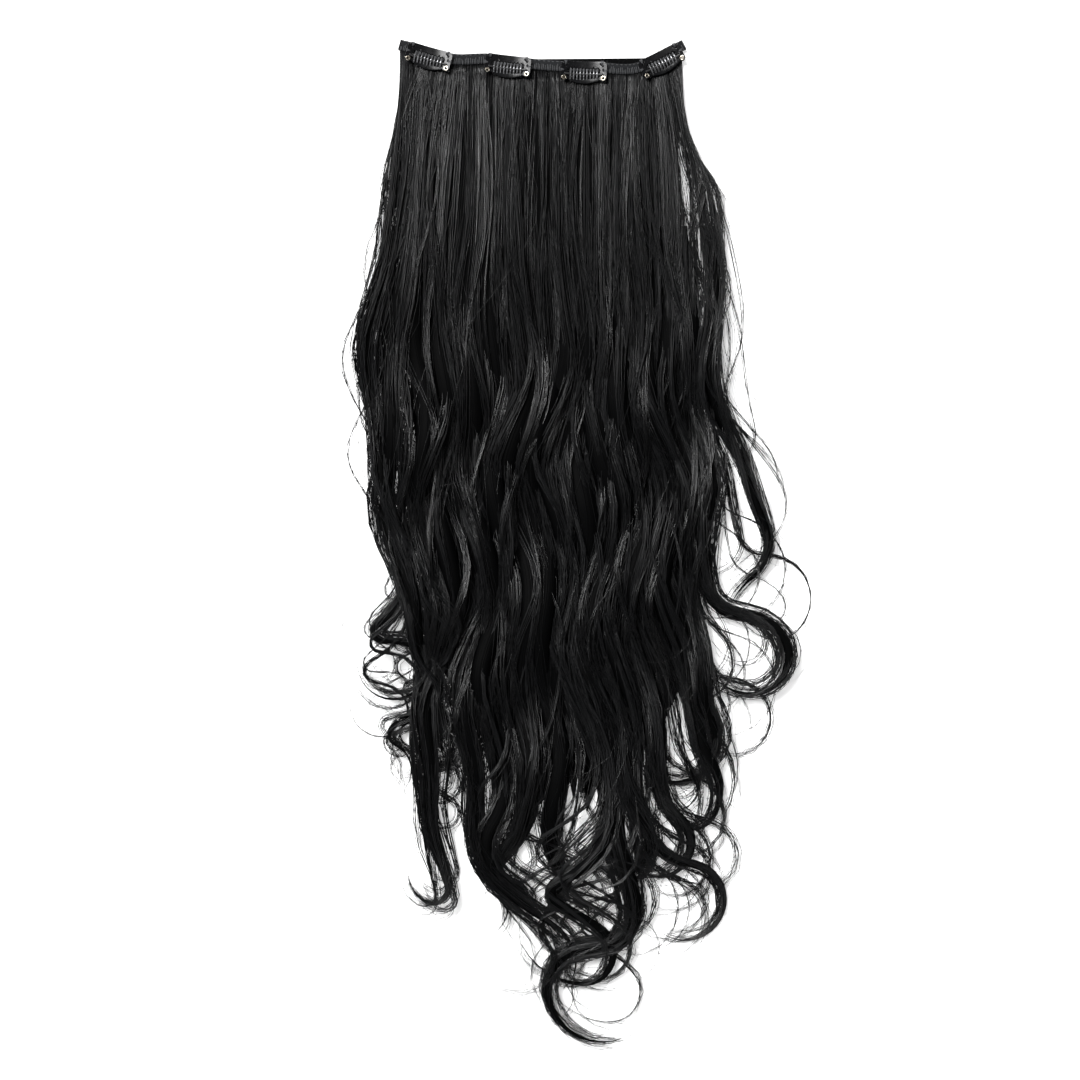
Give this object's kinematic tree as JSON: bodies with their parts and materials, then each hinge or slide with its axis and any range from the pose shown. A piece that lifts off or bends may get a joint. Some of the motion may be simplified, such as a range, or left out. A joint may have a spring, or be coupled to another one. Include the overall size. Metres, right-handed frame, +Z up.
{
  "type": "clip in hair extension",
  "caption": "Curly clip-in hair weft: a stitched band with bowed snap combs, long wavy hair and curled ends, lying flat.",
  "frame": {"origin": "middle of the weft band's underside, on the surface that the weft lies on", "axes": "+X along the band to the right, +Y from the hair's tips towards the band, +Z up from the surface, the side that the clips are on"},
  "size_m": [0.3065, 0.7022, 0.0195],
  "materials": {
    "band_fabric": "dull woven",
    "hair_fibre": "glossy fibre",
    "black_enamel": "gloss enamel",
    "black_silicone": "satin",
    "rivet_metal": "plated"
  },
  "bodies": {
    "weft": {"weft_band": "band_fabric", "hair_fall": "hair_fibre", "clip_1_frame": "black_enamel", "clip_1_grip_tube": "black_silicone", "clip_1_rivet_left": "rivet_metal", "clip_1_rivet_right": "rivet_metal", "clip_2_frame": "black_enamel", "clip_2_grip_tube": "black_silicone", "clip_2_rivet_left": "rivet_metal", "clip_2_rivet_right": "rivet_metal", "clip_3_frame": "black_enamel", "clip_3_grip_tube": "black_silicone", "clip_3_rivet_left": "rivet_metal", "clip_3_rivet_right": "rivet_metal", "clip_4_frame": "black_enamel", "clip_4_grip_tube": "black_silicone", "clip_4_rivet_left": "rivet_metal", "clip_4_rivet_right": "rivet_metal"},
    "comb_1": {"clip_1_comb": "black_enamel"},
    "comb_2": {"clip_2_comb": "black_enamel"},
    "comb_3": {"clip_3_comb": "black_enamel"},
    "comb_4": {"clip_4_comb": "black_enamel"}
  },
  "joints": [
    {"name": "clip_1_snap", "type": "hinge", "parent": "weft", "child": "comb_1", "pos_m": [-0.0796, 0.00025, 0.00637], "axis": [0.9632, -0.2689, 0], "range_deg": [0, 30]},
    {"name": "clip_2_snap", "type": "hinge", "parent": "weft", "child": "comb_2", "pos_m": [-0.02374, -0.00575, 0.00637], "axis": [0.9934, -0.1149, 0], "range_deg": [0, 30]},
    {"name": "clip_3_snap", "type": "hinge", "parent": "weft", "child": "comb_3", "pos_m": [0.0297, -0.00989, 0.00637], "axis": [0.9993, -0.0366, 0], "range_deg": [0, 30]},
    {"name": "clip_4_snap", "type": "hinge", "parent": "weft", "child": "comb_4", "pos_m": [0.08622, -0.00225, 0.00637], "axis": [0.891, 0.454, 0], "range_deg": [0, 30]}
  ]
}
